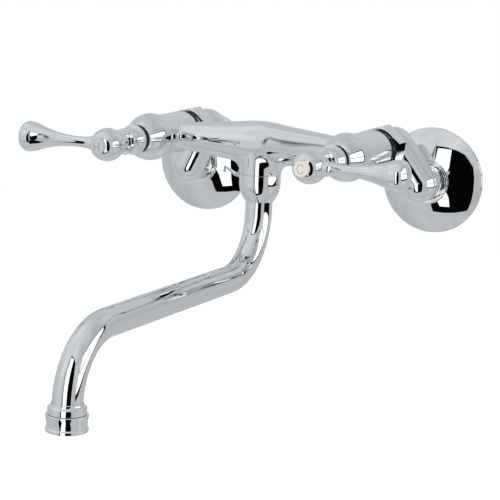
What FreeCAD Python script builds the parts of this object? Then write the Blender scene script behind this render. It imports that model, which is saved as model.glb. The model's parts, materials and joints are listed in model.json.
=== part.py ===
import FreeCAD, Part
import math
import os
from types import SimpleNamespace

import Sketcher

# Two-handle bridge faucet that hangs on a wall. The frame's origin lies on the wall, on the faucet's
# centre line and at the height of the two valve axes. +X runs to the right seen from the room,
# +Y runs into the wall and +Z is up. Lengths are in millimetres and angles in degrees.

os.makedirs("parts", exist_ok=True)
doc = FreeCAD.newDocument("WallFaucet")
sheet = doc.addObject("Spreadsheet::Sheet", "Sizes")

# Driving dimensions. A place "from the wall" is measured along a valve or pipe axis.
driving = {
    # offset arms and wall flanges
    "valve_spacing": 151.0,
    "arm_offset": 33.0,
    "left_arm_turn": 26.0,
    "right_arm_turn": 38.0,
    "arm_from_wall": 26.0,
    "arm_radius": 13.0,
    "arm_waterway": 7.0,
    "shank_gap": 1.0,
    "inlet_radius": 9.5,
    "inlet_depth": 14.0,
    "tail_radius": 10.4,
    "tail_flange_radius": 11.9,
    "tail_flange_length": 3.0,
    "flange_radius": 38.1,
    "flange_height": 12.6,
    "flange_wall": 1.8,
    "flange_seat_width": 2.1,
    "neck_radius": 14.4,
    "sleeve_radius": 15.2,
    "sleeve_foot": 3.5,
    "flange_ring_place": 5.0,
    "flange_ring_width": 2.0,
    "flange_ring_depth": 1.0,
    "dome_top": 11.3,
    "dome_sweep": 48.7,
    "dome_edge_bevel": 0.7,
    "dome_edge_height": 1.2,
    # union between arm and body
    "nut_from_wall": 45.5,
    "nut_across_flats": 30.0,
    "nut_length": 14.5,
    "nut_shoulder": 2.6,
    "nut_bevel_slope": 0.6,
    "right_nut_turn": 48.3,
    "left_nut_turn": 14.2,
    "washer_length": 2.0,
    "washer_radius": 12.4,
    "union_thread_radius": 13.0,
    # bridge body
    "bridge_from_wall": 88.0,
    "barrel_radius": 14.4,
    "barrel_start": 67.6,
    "barrel_end": 105.6,
    "chamber_radius": 10.5,
    "chamber_seat": 84.0,
    "chamber_cone": 3.5,
    "bonnet_thread_radius": 12.9,
    "bonnet_thread_length": 5.0,
    "bar_centre_radius": 15.7,
    "bar_shoulder_radius": 14.4,
    "bar_shoulder_place": 15.0,
    "bar_end_radius": 9.2,
    "bar_waterway": 5.5,
    "body_fillet": 3.0,
    "body_overlap": 1.0,
    "boss_radius": 14.6,
    "boss_face": 21.3,
    "boss_thread_radius": 12.6,
    "boss_thread_length": 8.6,
    "boss_bore": 10.5,
    # valves
    "seat_seal_length": 2.2,
    "seat_seal_radius": 8.0,
    "seat_port": 4.8,
    "disc_radius": 7.8,
    "disc_length": 3.0,
    "disc_port_place": 3.9,
    "disc_port_radius": 2.2,
    "cartridge_flange_radius": 12.4,
    "cartridge_flange_length": 3.6,
    "cartridge_nose_radius": 6.5,
    "cartridge_cavity": 8.2,
    "cartridge_ring_place": 1.5,
    "cartridge_ring_width": 2.0,
    "cartridge_ring_depth": 1.5,
    "stem_radius": 4.0,
    "stem_plate_radius": 7.5,
    "stem_plate_length": 2.2,
    "stem_end": 149.5,
    # bonnets
    "bonnet_lip_radius": 14.5,
    "bonnet_radius": 16.6,
    "bonnet_widest": 111.3,
    "bonnet_dome_end": 131.2,
    "bonnet_neck_radius": 9.0,
    "bonnet_end": 134.8,
    "bonnet_wall": 2.8,
    # handles
    "skirt_start": 136.0,
    "skirt_radius": 10.5,
    "skirt_sweep": 12.5,
    "skirt_cup_depth": 4.0,
    "neck_ring_radius": 9.1,
    "neck_ring_place": 148.8,
    "neck_ring_length": 2.4,
    "hub_neck_radius": 6.4,
    "ball_radius": 11.3,
    "ball_place": 171.0,
    "ball_arc_radius": 15.8,
    "ball_back": 159.6,
    "ball_front": 182.7,
    "index_radius": 5.3,
    "index_seat_depth": 2.4,
    "index_rise": 1.6,
    "lever_spigot_radius": 3.0,
    "lever_spigot_start": 4.6,
    "lever_root_radius": 4.6,
    "lever_root_start": 10.1,
    "lever_root_length": 3.4,
    "lever_waist_radius": 3.6,
    "lever_waist_place": 24.0,
    "lever_flare_radius": 9.3,
    "lever_flare_place": 56.0,
    "lever_bulb_radius": 10.5,
    "lever_bulb_place": 62.5,
    "lever_cap_radius": 7.9,
    "lever_cap_place": 66.8,
    "lever_bulb_sweep": 20.0,
    "lever_edge_roll": 5.0,
    "lever_end": 68.9,
    "handle_screw_radius": 2.0,
    "handle_screw_head": 3.8,
    "handle_screw_head_length": 2.6,
    "handle_screw_start": 139.0,
    "handle_screw_seat": 160.0,
    "hex_socket_radius": 1.5,
    # spout
    "swivel_nut_radius": 14.6,
    "swivel_nut_band": 6.0,
    "swivel_nut_end": 40.6,
    "swivel_nut_lip": 0.6,
    "tube_radius": 9.5,
    "tube_wall": 1.3,
    "spout_level": 90.3,
    "spout_reach": 248.0,
    "spout_bend": 43.0,
    "bushing_top": 8.0,
    "bushing_bore": 6.0,
    "bushing_flange_radius": 11.6,
    "bushing_flange_length": 3.0,
    "bushing_spigot_length": 8.0,
    "bushing_bevel": 0.8,
    "ring_groove_depth": 1.7,
    "ring_groove_width": 2.0,
    "ring_groove_first": 12.0,
    "ring_groove_second": 18.0,
    "glide_ring_length": 1.0,
    "collar_radius": 11.9,
    "collar_flare": 2.6,
    "collar_flare_sweep": 3.0,
    "collar_seat": 0.9,
    "outlet_washer_length": 1.2,
    "aerator_top": 137.3,
    "aerator_end": 148.0,
    "aerator_radius": 13.1,
    "aerator_waist_radius": 12.3,
    "aerator_waist_sweep": 20.0,
    "aerator_lip_height": 1.9,
    "aerator_rim_height": 1.6,
    "aerator_ledge": 1.4,
    "aerator_thread_radius": 10.6,
    "aerator_insert_radius": 9.4,
    "aerator_mouth_radius": 9.0,
    "aerator_hole_radius": 0.9,
    "aerator_outer_holes": 7.0,
    "aerator_inner_holes": 3.6,
    # small edges and clearances
    "edge_break": 0.5,
    "socket_gap": 0.05,
    "seat_gap": 0.1,
    "running_gap": 0.06,
    "thread_gap": 0.1,
    "ring_gap": 0.02,
}


class Size:
    """A number with the sheet formula that gives it, so that sums keep their link to the sheet."""

    def __init__(self, value, text):
        self.value = value
        self.text = text

    def __add__(self, other):
        other = size_of(other)
        return Size(self.value + other.value, f"({self.text} + {other.text})")

    def __radd__(self, other):
        return size_of(other) + self

    def __sub__(self, other):
        other = size_of(other)
        return Size(self.value - other.value, f"({self.text} - {other.text})")

    def __rsub__(self, other):
        return size_of(other) - self

    def __mul__(self, other):
        other = size_of(other)
        return Size(self.value * other.value, f"({self.text} * {other.text})")

    def __rmul__(self, other):
        return size_of(other) * self

    def __truediv__(self, other):
        other = size_of(other)
        return Size(self.value / other.value, f"({self.text} / {other.text})")

    def __neg__(self):
        return Size(-self.value, f"(0 - {self.text})")


def size_of(number):
    return number if isinstance(number, Size) else Size(float(number), repr(float(number)))


def sine(angle):
    return Size(math.sin(math.radians(angle.value)), f"sin({angle.text})")


def cosine(angle):
    return Size(math.cos(math.radians(angle.value)), f"cos({angle.text})")


s = SimpleNamespace()
for row, (name, number) in enumerate(driving.items(), start=1):
    sheet.set(f"A{row}", name)
    sheet.set(f"B{row}", str(number))
    sheet.setAlias(f"B{row}", name)
    setattr(s, name, Size(number, f"Sizes.{name}"))
doc.recompute()

parts = []
upright = (FreeCAD.Vector(0, 0, 1), 0)
outward = (FreeCAD.Vector(1, 0, 0), 90)


def bind(thing, prop, size):
    """Gives a property its number now and its formula for later."""
    thing.setExpression(prop, size_of(size).text)


def place(thing, x, y, z, turn=upright, angle=None):
    axis, degrees = turn
    spot = FreeCAD.Vector(size_of(x).value, size_of(y).value, size_of(z).value)
    rotation = FreeCAD.Rotation(axis, degrees if angle is None else angle.value)
    thing.Placement = FreeCAD.Placement(spot, rotation)
    for prop, size in (("x", x), ("y", y), ("z", z)):
        bind(thing, f"Placement.Base.{prop}", size)
    if angle is not None:
        bind(thing, "Placement.Rotation.Angle", angle)


def keep(thing, label):
    """Marks an object as one finished piece of the faucet."""
    thing.Label = label
    parts.append(thing)
    return thing


def new_body(name):
    return doc.addObject("PartDesign::Body", name)


def sketch_on(body, role, name):
    """An empty sketch on one of the body's own origin planes."""
    sketch = body.newObject("Sketcher::SketchObject", name)
    plane = [feature for feature in body.Origin.OriginFeatures if feature.Role == role][0]
    sketch.AttachmentSupport = [(plane, "")]
    sketch.MapMode = "FlatFace"
    return sketch


def pin_point(sketch, edge, end, x, y):
    """Holds one end of an edge at a place given from the sketch's origin."""
    for kind, size in (("DistanceX", x), ("DistanceY", y)):
        number = sketch.addConstraint(Sketcher.Constraint(kind, -1, 1, edge, end, size_of(size).value))
        bind(sketch, f"Constraints[{number}]", size)


def arc_between(start, end, radius, side):
    """Centre and sweep of the short arc from start to end; side +1 keeps the centre on the left."""
    dx, dy = end[0] - start[0], end[1] - start[1]
    chord = math.hypot(dx, dy)
    height = math.sqrt(max(radius * radius - chord * chord / 4, 0.0))
    cx = (start[0] + end[0]) / 2 - side * dy / chord * height
    cy = (start[1] + end[1]) / 2 + side * dx / chord * height
    first = math.atan2(start[1] - cy, start[0] - cx)
    last = math.atan2(end[1] - cy, end[0] - cx)
    return (cx, cy), first, last


def draw(sketch, corners, closed=True):
    """Lines and arcs through the corners. A corner is (x, y), or (x, y, radius, side) for an arc to it."""
    spots = [(size_of(corner[0]).value, size_of(corner[1]).value) for corner in corners]
    ends = []
    count = len(corners) if closed else len(corners) - 1
    for index in range(count):
        target = (index + 1) % len(corners)
        start, end, corner = spots[index], spots[target], corners[target]
        if len(corner) == 2:
            line = Part.LineSegment(FreeCAD.Vector(*start, 0), FreeCAD.Vector(*end, 0))
            ends.append((sketch.addGeometry(line), 1, 2))
            continue
        radius, side = corner[2], corner[3]
        centre, first, last = arc_between(start, end, size_of(radius).value, side)
        circle = Part.Circle(FreeCAD.Vector(*centre, 0), FreeCAD.Vector(0, 0, 1), size_of(radius).value)
        if side > 0:
            ends.append((sketch.addGeometry(Part.ArcOfCircle(circle, first, last)), 1, 2))
        else:
            ends.append((sketch.addGeometry(Part.ArcOfCircle(circle, last, first)), 2, 1))
        number = sketch.addConstraint(Sketcher.Constraint("Radius", ends[-1][0], size_of(radius).value))
        bind(sketch, f"Constraints[{number}]", radius)
    for index, (edge, begin, finish) in enumerate(ends):
        pin_point(sketch, edge, begin, corners[index][0], corners[index][1])
        if closed or index + 1 < count:
            after = ends[(index + 1) % len(ends)]
            sketch.addConstraint(Sketcher.Constraint("Coincident", edge, finish, after[0], after[1]))
        else:
            pin_point(sketch, edge, finish, corners[-1][0], corners[-1][1])


def draw_circle(sketch, x, y, radius):
    centre = FreeCAD.Vector(size_of(x).value, size_of(y).value, 0)
    circle = Part.Circle(centre, FreeCAD.Vector(0, 0, 1), size_of(radius).value)
    edge = sketch.addGeometry(circle)
    number = sketch.addConstraint(Sketcher.Constraint("Radius", edge, size_of(radius).value))
    bind(sketch, f"Constraints[{number}]", radius)
    pin_point(sketch, edge, 3, x, y)


def revolve(body, name, corners, kind="Revolution"):
    """Turns an outline of (radius, height) corners about the body's Z axis; a Groove cuts instead."""
    sketch = sketch_on(body, "XZ_Plane", f"{name}Outline")
    draw(sketch, corners)
    feature = body.newObject(f"PartDesign::{kind}", name)
    feature.Profile = sketch
    feature.ReferenceAxis = (sketch, ["V_Axis"])
    feature.Angle = 360
    sketch.Visibility = False
    return feature


def turned(label, corners, x=0, y=0, z=0, turn=upright):
    """A piece turned on a lathe from one outline."""
    body = new_body(label.title().replace("_", ""))
    revolve(body, f"{body.Name}Turning", corners)
    place(body, x, y, z, turn)
    return keep(body, label)


def ring(inner, outer, low, high):
    return [(inner, low), (outer, low), (outer, high), (inner, high)]


def sweep(run, rise):
    """Radius of the arc that leaves a straight run smoothly and has moved sideways by rise at its end."""
    return (run * run + rise * rise) / (2 * rise)


def primitive(kind, name, sizes, x=0, y=0, z=0, turn=upright):
    thing = doc.addObject(f"Part::{kind}", name)
    for prop, size in sizes.items():
        setattr(thing, prop, size_of(size).value)
        bind(thing, prop, size)
    place(thing, x, y, z, turn)
    return thing


sides = (("left", -1, s.left_arm_turn), ("right", 1, s.right_arm_turn))
valve_x = s.valve_spacing / 2

# Places along a valve axis that several pieces share.
washer_start = s.nut_from_wall + s.nut_shoulder + s.seat_gap + s.tail_flange_length + s.seat_gap
body_start = washer_start + s.washer_length
nut_end = s.nut_from_wall + s.nut_length
thread_end = s.barrel_end + s.bonnet_thread_length
nut_bore = s.union_thread_radius + s.thread_gap
seal_end = s.chamber_seat + s.seat_seal_length
fixed_disc_end = seal_end + s.disc_length
moving_disc_start = fixed_disc_end + s.running_gap
moving_disc_end = moving_disc_start + s.disc_length
stem_plate_end = moving_disc_end + s.stem_plate_length
cavity_end = stem_plate_end + s.seat_gap
cartridge_flange_start = thread_end + s.seat_gap

# Depths below the bar's axis along the spout's swivel axis.
bushing_flange_top = s.boss_face + s.boss_thread_length + s.running_gap
tube_start = bushing_flange_top + s.bushing_flange_length
glide_ring_top = tube_start + s.running_gap
swivel_shoulder = glide_ring_top + s.glide_ring_length + s.running_gap


def bridge_body():
    """One casting: two valve barrels, the swelling bar between them and the boss for the spout."""
    body = new_body("BridgeBody")

    # The bar is turned about X: a cone each side, joined by a shallow arc over the middle.
    # Each cone runs on to its valve's axis, so that it meets a barrel of any radius.
    bar = sketch_on(body, "XY_Plane", "BarOutline")
    bar_end = valve_x - s.tail_radius
    shoulder = s.bar_shoulder_place
    crown = sweep(shoulder, s.bar_centre_radius - s.bar_shoulder_radius)
    taper = (s.bar_shoulder_radius - s.bar_end_radius) / (bar_end - shoulder)
    root_radius = s.bar_end_radius - taper * s.tail_radius
    draw(bar, [
        (-valve_x, 0),
        (valve_x, 0),
        (valve_x, root_radius),
        (shoulder, s.bar_shoulder_radius),
        (-shoulder, s.bar_shoulder_radius, crown, 1),
        (-valve_x, root_radius),
    ])
    turning = body.newObject("PartDesign::Revolution", "Bar")
    turning.Profile = bar
    turning.ReferenceAxis = (bar, ["H_Axis"])
    turning.Angle = 360
    bar.Visibility = False

    for name, side in (("Left", -1), ("Right", 1)):
        barrel = sketch_on(body, "YZ_Plane", f"{name}BarrelOutline")
        bind(barrel, "AttachmentOffset.Base.z", side * valve_x)
        front = s.bridge_from_wall - s.barrel_end
        draw(barrel, [
            (s.bridge_from_wall - thread_end, 0),
            (s.bridge_from_wall - body_start, 0),
            (s.bridge_from_wall - body_start, s.union_thread_radius),
            (s.bridge_from_wall - s.barrel_start, s.union_thread_radius),
            (s.bridge_from_wall - s.barrel_start, s.barrel_radius),
            (front, s.barrel_radius),
            (front, s.bonnet_thread_radius),
            (s.bridge_from_wall - thread_end, s.bonnet_thread_radius),
        ])
        turning = body.newObject("PartDesign::Revolution", f"{name}Barrel")
        turning.Profile = barrel
        turning.ReferenceAxis = (barrel, ["H_Axis"])
        turning.Angle = 360
        barrel.Visibility = False

    revolve(body, "SpoutBoss", [
        (0, -s.boss_face),
        (s.boss_radius, -s.boss_face),
        (s.boss_radius, 0),
        (0, 0),
    ])
    doc.recompute()
    blend_joins(body)

    thread_foot = -s.boss_face - s.boss_thread_length
    revolve(body, "SpoutThread", ring(s.boss_bore, s.boss_thread_radius, thread_foot,
                                      -s.boss_face + s.body_overlap))
    revolve(body, "SpoutBore", ring(0, s.boss_bore, thread_foot, -s.bushing_top + s.edge_break), "Groove")
    revolve(body, "OutletWay", ring(0, s.bushing_bore, -s.bushing_top, 0), "Groove")

    way = sketch_on(body, "YZ_Plane", "CrossWayOutline")
    draw_circle(way, 0, 0, s.bar_waterway)
    pocket = body.newObject("PartDesign::Pocket", "CrossWay")
    pocket.Profile = way
    pocket.Midplane = True
    pocket.Length = s.valve_spacing.value
    bind(pocket, "Length", s.valve_spacing)
    way.Visibility = False

    for name, side in (("Left", -1), ("Right", 1)):
        chamber = sketch_on(body, "YZ_Plane", f"{name}ChamberOutline")
        bind(chamber, "AttachmentOffset.Base.z", side * valve_x)
        seat = s.bridge_from_wall - s.chamber_seat
        draw(chamber, [
            (s.bridge_from_wall - thread_end, 0),
            (s.bridge_from_wall - body_start, 0),
            (s.bridge_from_wall - body_start, s.arm_waterway),
            (seat + s.chamber_cone, s.arm_waterway),
            (seat, s.seat_port),
            (seat, s.chamber_radius),
            (s.bridge_from_wall - thread_end, s.chamber_radius),
        ])
        groove = body.newObject("PartDesign::Groove", f"{name}Chamber")
        groove.Profile = chamber
        groove.ReferenceAxis = (chamber, ["H_Axis"])
        groove.Angle = 360
        chamber.Visibility = False
    place(body, 0, -s.bridge_from_wall, 0)
    return keep(body, "bridge_body")


def blend_joins(body):
    """Rounds the curves where the boss and the barrels meet the bar."""
    base = body.Tip
    names = []
    for index, edge in enumerate(base.Shape.Edges, start=1):
        box = edge.BoundBox
        flat = edge.Curve.TypeId in ("Part::GeomLine", "Part::GeomCircle")
        around_boss = abs(box.Center.x) < 1 and box.ZMax < 0
        around_barrel = abs(box.Center.x) > valve_x.value - 2 * s.barrel_radius.value
        if not flat and (around_boss or around_barrel):
            names.append(f"Edge{index}")
    fillet = body.newObject("PartDesign::Fillet", "JoinBlends")
    fillet.Base = (base, names)
    fillet.Radius = s.body_fillet.value
    bind(fillet, "Radius", s.body_fillet)


def arm(name, side, turn):
    """Offset elbow: a pipe parallel to the wall, with the inlet shank behind and the union tail ahead."""
    base = name.title()
    shank_length = s.arm_from_wall - s.shank_gap
    tail_start = s.nut_from_wall + s.nut_shoulder + s.seat_gap
    tail_end = tail_start + s.tail_flange_length
    level = -s.arm_offset
    solids = [
        primitive("Sphere", f"{base}ArmTopElbow", {"Radius": s.arm_radius}, 0, -s.arm_from_wall, 0),
        primitive("Sphere", f"{base}ArmLowElbow", {"Radius": s.arm_radius}, 0, -s.arm_from_wall, level),
        primitive("Cylinder", f"{base}ArmLink", {"Radius": s.arm_radius, "Height": s.arm_offset},
                  0, -s.arm_from_wall, level),
        primitive("Cylinder", f"{base}ArmShank", {"Radius": s.arm_radius, "Height": shank_length},
                  0, -s.shank_gap, level, outward),
        primitive("Cylinder", f"{base}ArmTail",
                  {"Radius": s.tail_radius, "Height": tail_end - s.arm_from_wall},
                  0, -s.arm_from_wall, 0, outward),
        primitive("Cylinder", f"{base}ArmTailFlange",
                  {"Radius": s.tail_flange_radius, "Height": s.tail_flange_length},
                  0, -tail_start, 0, outward),
    ]
    ways = [
        primitive("Sphere", f"{base}ArmTopWay", {"Radius": s.arm_waterway}, 0, -s.arm_from_wall, 0),
        primitive("Sphere", f"{base}ArmLowWay", {"Radius": s.arm_waterway}, 0, -s.arm_from_wall, level),
        primitive("Cylinder", f"{base}ArmLinkWay", {"Radius": s.arm_waterway, "Height": s.arm_offset},
                  0, -s.arm_from_wall, level),
        primitive("Cylinder", f"{base}ArmShankWay", {"Radius": s.arm_waterway, "Height": shank_length},
                  0, -s.shank_gap, level, outward),
        primitive("Cylinder", f"{base}ArmInlet", {"Radius": s.inlet_radius, "Height": s.inlet_depth},
                  0, -s.shank_gap, level, outward),
        primitive("Cylinder", f"{base}ArmTailWay",
                  {"Radius": s.arm_waterway, "Height": tail_end - s.arm_from_wall},
                  0, -s.arm_from_wall, 0, outward),
    ]
    casting = doc.addObject("Part::MultiFuse", f"{base}ArmCasting")
    casting.Shapes = solids
    waterway = doc.addObject("Part::MultiFuse", f"{base}ArmWaterway")
    waterway.Shapes = ways
    cut = doc.addObject("Part::Cut", f"{base}Arm")
    cut.Base = casting
    cut.Tool = waterway
    place(cut, side * valve_x, 0, 0, (FreeCAD.Vector(0, -side, 0), 0), turn)
    return keep(cut, f"{name}_arm")


def arm_end(side, turn):
    """The inlet axis of an arm, in the frame's X and Z."""
    return side * (valve_x + s.arm_offset * sine(turn)), -(s.arm_offset * cosine(turn))


def flange(name, side, turn):
    """Domed escutcheon: a thin bowl with a short neck and a hidden sleeve that slide on the arm's shank."""
    x, z = arm_end(side, turn)
    bore = s.arm_radius + s.seat_gap
    groove = bore + s.flange_ring_depth
    groove_high = s.flange_ring_place + s.flange_ring_width
    return turned(f"{name}_flange", [
        (bore, s.sleeve_foot),
        (bore, s.flange_ring_place),
        (groove, s.flange_ring_place),
        (groove, groove_high),
        (bore, groove_high),
        (bore, s.flange_height),
        (s.neck_radius - s.edge_break, s.flange_height),
        (s.neck_radius, s.flange_height - s.edge_break),
        (s.neck_radius, s.dome_top),
        (s.flange_radius - s.dome_edge_bevel, s.dome_edge_height, s.dome_sweep, -1),
        (s.flange_radius, s.dome_edge_height - s.dome_edge_bevel),
        (s.flange_radius, 0),
        (s.flange_radius - s.flange_seat_width, 0),
        (s.sleeve_radius, s.dome_top - s.flange_wall, s.dome_sweep - s.flange_wall, 1),
        (s.sleeve_radius, s.sleeve_foot),
    ], x, 0, z, outward)


def flange_ring(name, side, turn):
    """O-ring in the flange's neck that grips the shank."""
    x, z = arm_end(side, turn)
    low = s.flange_ring_place + s.seat_gap
    high = s.flange_ring_place + s.flange_ring_width - s.seat_gap
    inner = s.arm_radius + s.socket_gap
    outer = s.arm_radius + s.flange_ring_depth + s.socket_gap
    return turned(f"{name}_flange_ring", ring(inner, outer, low, high), x, 0, z, outward)


def union_nut(name, side, turn):
    """Hexagonal union nut with bevelled corners and an inner shoulder that draws the arm in."""
    body = new_body(f"{name.title()}UnionNut")
    hexagon = sketch_on(body, "XY_Plane", f"{body.Name}Hexagon")
    bind(hexagon, "AttachmentOffset.Base.z", s.nut_from_wall)
    flat = s.nut_across_flats / 2
    corner = flat / math.cos(math.pi / 6)
    corners = []
    for step in range(6):
        angle = side * turn + 90 + 60 * step
        corners.append((corner * cosine(angle), corner * sine(angle)))
    draw(hexagon, corners)
    pad = body.newObject("PartDesign::Pad", f"{body.Name}Hex")
    pad.Profile = hexagon
    pad.Length = s.nut_length.value
    bind(pad, "Length", s.nut_length)
    hexagon.Visibility = False

    outside = corner + s.edge_break
    bevel = (outside - flat) * s.nut_bevel_slope
    for end, face, foot in (("Rear", s.nut_from_wall, s.nut_from_wall + bevel),
                            ("Front", nut_end, nut_end - bevel)):
        revolve(body, f"{body.Name}{end}Bevel", [(flat, face), (outside, face), (outside, foot)], "Groove")
    tail_bore = s.tail_radius + s.seat_gap
    shoulder_end = s.nut_from_wall + s.nut_shoulder
    revolve(body, f"{body.Name}Bore", [
        (0, s.nut_from_wall),
        (tail_bore, s.nut_from_wall),
        (tail_bore, shoulder_end),
        (nut_bore, shoulder_end),
        (nut_bore, nut_end),
        (0, nut_end),
    ], "Groove")
    place(body, side * valve_x, 0, 0, outward)
    return keep(body, f"{name}_union_nut")


def valve_pieces(name, side):
    """Quarter-turn ceramic valve: seal, fixed disc, moving disc, stem, housing and their rings."""
    at = {"x": side * valve_x, "turn": outward}
    turned(f"{name}_union_washer", ring(s.arm_waterway, s.washer_radius, washer_start, body_start), **at)
    turned(f"{name}_seat_seal", ring(s.seat_port, s.seat_seal_radius, s.chamber_seat, seal_end), **at)
    ceramic_disc(f"{name}_fixed_disc", side, seal_end, 0)
    ceramic_disc(f"{name}_moving_disc", side, moving_disc_start, 90)

    turned(f"{name}_valve_stem", [
        (0, moving_disc_end),
        (s.stem_plate_radius, moving_disc_end),
        (s.stem_plate_radius, stem_plate_end),
        (s.stem_radius, stem_plate_end),
        (s.stem_radius, s.stem_end - s.edge_break),
        (s.stem_radius - s.edge_break, s.stem_end),
        (s.handle_screw_radius, s.stem_end),
        (s.handle_screw_radius, s.handle_screw_start - s.edge_break),
        (0, s.handle_screw_start - s.edge_break - s.handle_screw_radius / 2),
    ], **at)

    outer = s.chamber_radius - s.seat_gap
    bore = s.stem_radius + s.running_gap
    groove = outer - s.cartridge_ring_depth
    ring_low = cavity_end + s.cartridge_ring_place
    ring_high = ring_low + s.cartridge_ring_width
    nose_end = s.bonnet_end - 2 * s.edge_break
    turned(f"{name}_cartridge_housing", [
        (s.cartridge_cavity, seal_end),
        (outer, seal_end),
        (outer, ring_low),
        (groove, ring_low),
        (groove, ring_high),
        (outer, ring_high),
        (outer, cartridge_flange_start),
        (s.cartridge_flange_radius, cartridge_flange_start),
        (s.cartridge_flange_radius, cartridge_flange_start + s.cartridge_flange_length),
        (s.cartridge_nose_radius, cartridge_flange_start + s.cartridge_flange_length),
        (s.cartridge_nose_radius, nose_end),
        (bore, nose_end),
        (bore, cavity_end),
        (s.cartridge_cavity, cavity_end),
    ], **at)
    turned(f"{name}_cartridge_ring",
           ring(groove + s.socket_gap, outer, ring_low + s.seat_gap, ring_high - s.seat_gap), **at)


def ceramic_disc(label, side, start, turn):
    """Ceramic plate with two ports; a quarter turn of one plate shuts the ports of the other."""
    body = new_body(label.title().replace("_", ""))
    face = sketch_on(body, "XY_Plane", f"{body.Name}Face")
    bind(face, "AttachmentOffset.Base.z", start)
    draw_circle(face, 0, 0, s.disc_radius)
    for way in (1, -1):
        reach = way * s.disc_port_place
        spot = (reach, 0) if turn else (0, reach)
        draw_circle(face, spot[0], spot[1], s.disc_port_radius)
    pad = body.newObject("PartDesign::Pad", f"{body.Name}Plate")
    pad.Profile = face
    pad.Length = s.disc_length.value
    bind(pad, "Length", s.disc_length)
    face.Visibility = False
    place(body, side * valve_x, 0, 0, outward)
    return keep(body, label)


def bonnet(name, side):
    """Bulging cover with a short neck, screwed over the front of a valve barrel."""
    bore = s.bonnet_thread_radius + s.thread_gap
    start = s.barrel_end + s.seat_gap
    lip_arc = sweep(s.bonnet_widest - start, s.bonnet_radius - s.bonnet_lip_radius)
    dome_arc = sweep(s.bonnet_dome_end - s.bonnet_widest, s.bonnet_radius - s.bonnet_neck_radius)
    step = thread_end + s.edge_break
    inner = s.bonnet_radius - s.bonnet_wall
    inner_start = s.bonnet_widest + s.bonnet_thread_length
    inner_end = s.bonnet_dome_end - s.bonnet_wall / 2
    nose_hole = s.cartridge_nose_radius + s.seat_gap
    return turned(f"{name}_bonnet", [
        (bore, start),
        (s.bonnet_lip_radius, start),
        (s.bonnet_radius, s.bonnet_widest, lip_arc, 1),
        (s.bonnet_neck_radius, s.bonnet_dome_end, dome_arc, 1),
        (s.bonnet_neck_radius, s.bonnet_end),
        (nose_hole, s.bonnet_end),
        (nose_hole, inner_end),
        (inner, inner_start, sweep(inner_end - inner_start, inner - nose_hole), -1),
        (inner, step),
        (bore, step),
    ], side * valve_x, 0, 0, outward)


def handle_hub(name, side):
    """Handle casting: bell skirt, ringed neck and a ball bored across for the lever."""
    body = new_body(f"{name.title()}HandleHub")
    bore = s.stem_radius + s.socket_gap
    break_ = s.edge_break
    cup = s.skirt_start + s.skirt_cup_depth
    ring_low = s.neck_ring_place - s.neck_ring_length / 2
    ring_high = s.neck_ring_place + s.neck_ring_length / 2
    bell_top = s.hub_neck_radius + break_
    index_bore = s.index_radius + s.seat_gap
    index_seat = s.ball_front - s.index_seat_depth
    head_bore = s.handle_screw_head + break_
    screw_bore = s.handle_screw_radius + s.seat_gap
    revolve(body, f"{body.Name}Turning", [
        (bore, cup),
        (s.cartridge_nose_radius + 2 * break_, cup),
        (s.skirt_radius - 3 * break_, s.skirt_start),
        (s.skirt_radius - break_, s.skirt_start),
        (s.skirt_radius, s.skirt_start + break_),
        (bell_top, ring_low - break_, s.skirt_sweep, -1),
        (bell_top, ring_low),
        (s.neck_ring_radius - break_, ring_low),
        (s.neck_ring_radius, ring_low + break_),
        (s.neck_ring_radius, ring_high - break_),
        (s.neck_ring_radius - break_, ring_high),
        (s.hub_neck_radius, ring_high),
        (s.hub_neck_radius, s.ball_back),
        (arc_radius_at(s.ball_front), s.ball_front, s.ball_arc_radius, 1),
        (index_bore, s.ball_front),
        (index_bore, index_seat),
        (head_bore, index_seat),
        (head_bore, s.handle_screw_seat),
        (screw_bore, s.handle_screw_seat),
        (screw_bore, s.stem_end + break_),
        (bore, s.stem_end + break_),
    ])
    cuts = (("Socket", 0, s.lever_spigot_radius), ("Seat", side * s.lever_root_start, s.lever_root_radius))
    for cut, start, radius in cuts:
        hole = sketch_on(body, "YZ_Plane", f"{body.Name}Lever{cut}Outline")
        bind(hole, "AttachmentOffset.Base.z", start)
        draw_circle(hole, 0, s.ball_place, radius + s.socket_gap)
        pocket = body.newObject("PartDesign::Pocket", f"{body.Name}Lever{cut}")
        pocket.Profile = hole
        pocket.Reversed = side > 0
        pocket.Length = (2 * s.ball_radius).value
        bind(pocket, "Length", 2 * s.ball_radius)
        hole.Visibility = False
    place(body, side * valve_x, 0, 0, outward)
    return keep(body, f"{name}_handle_hub")


def arc_radius_at(height):
    """Radius of the ball's meridian at a height; the arc's centre lies past the axis."""
    offset = height - s.ball_place
    inside = s.ball_arc_radius * s.ball_arc_radius - offset * offset
    root = Size(math.sqrt(inside.value), f"sqrt({inside.text})")
    return s.ball_radius - s.ball_arc_radius + root


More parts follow.
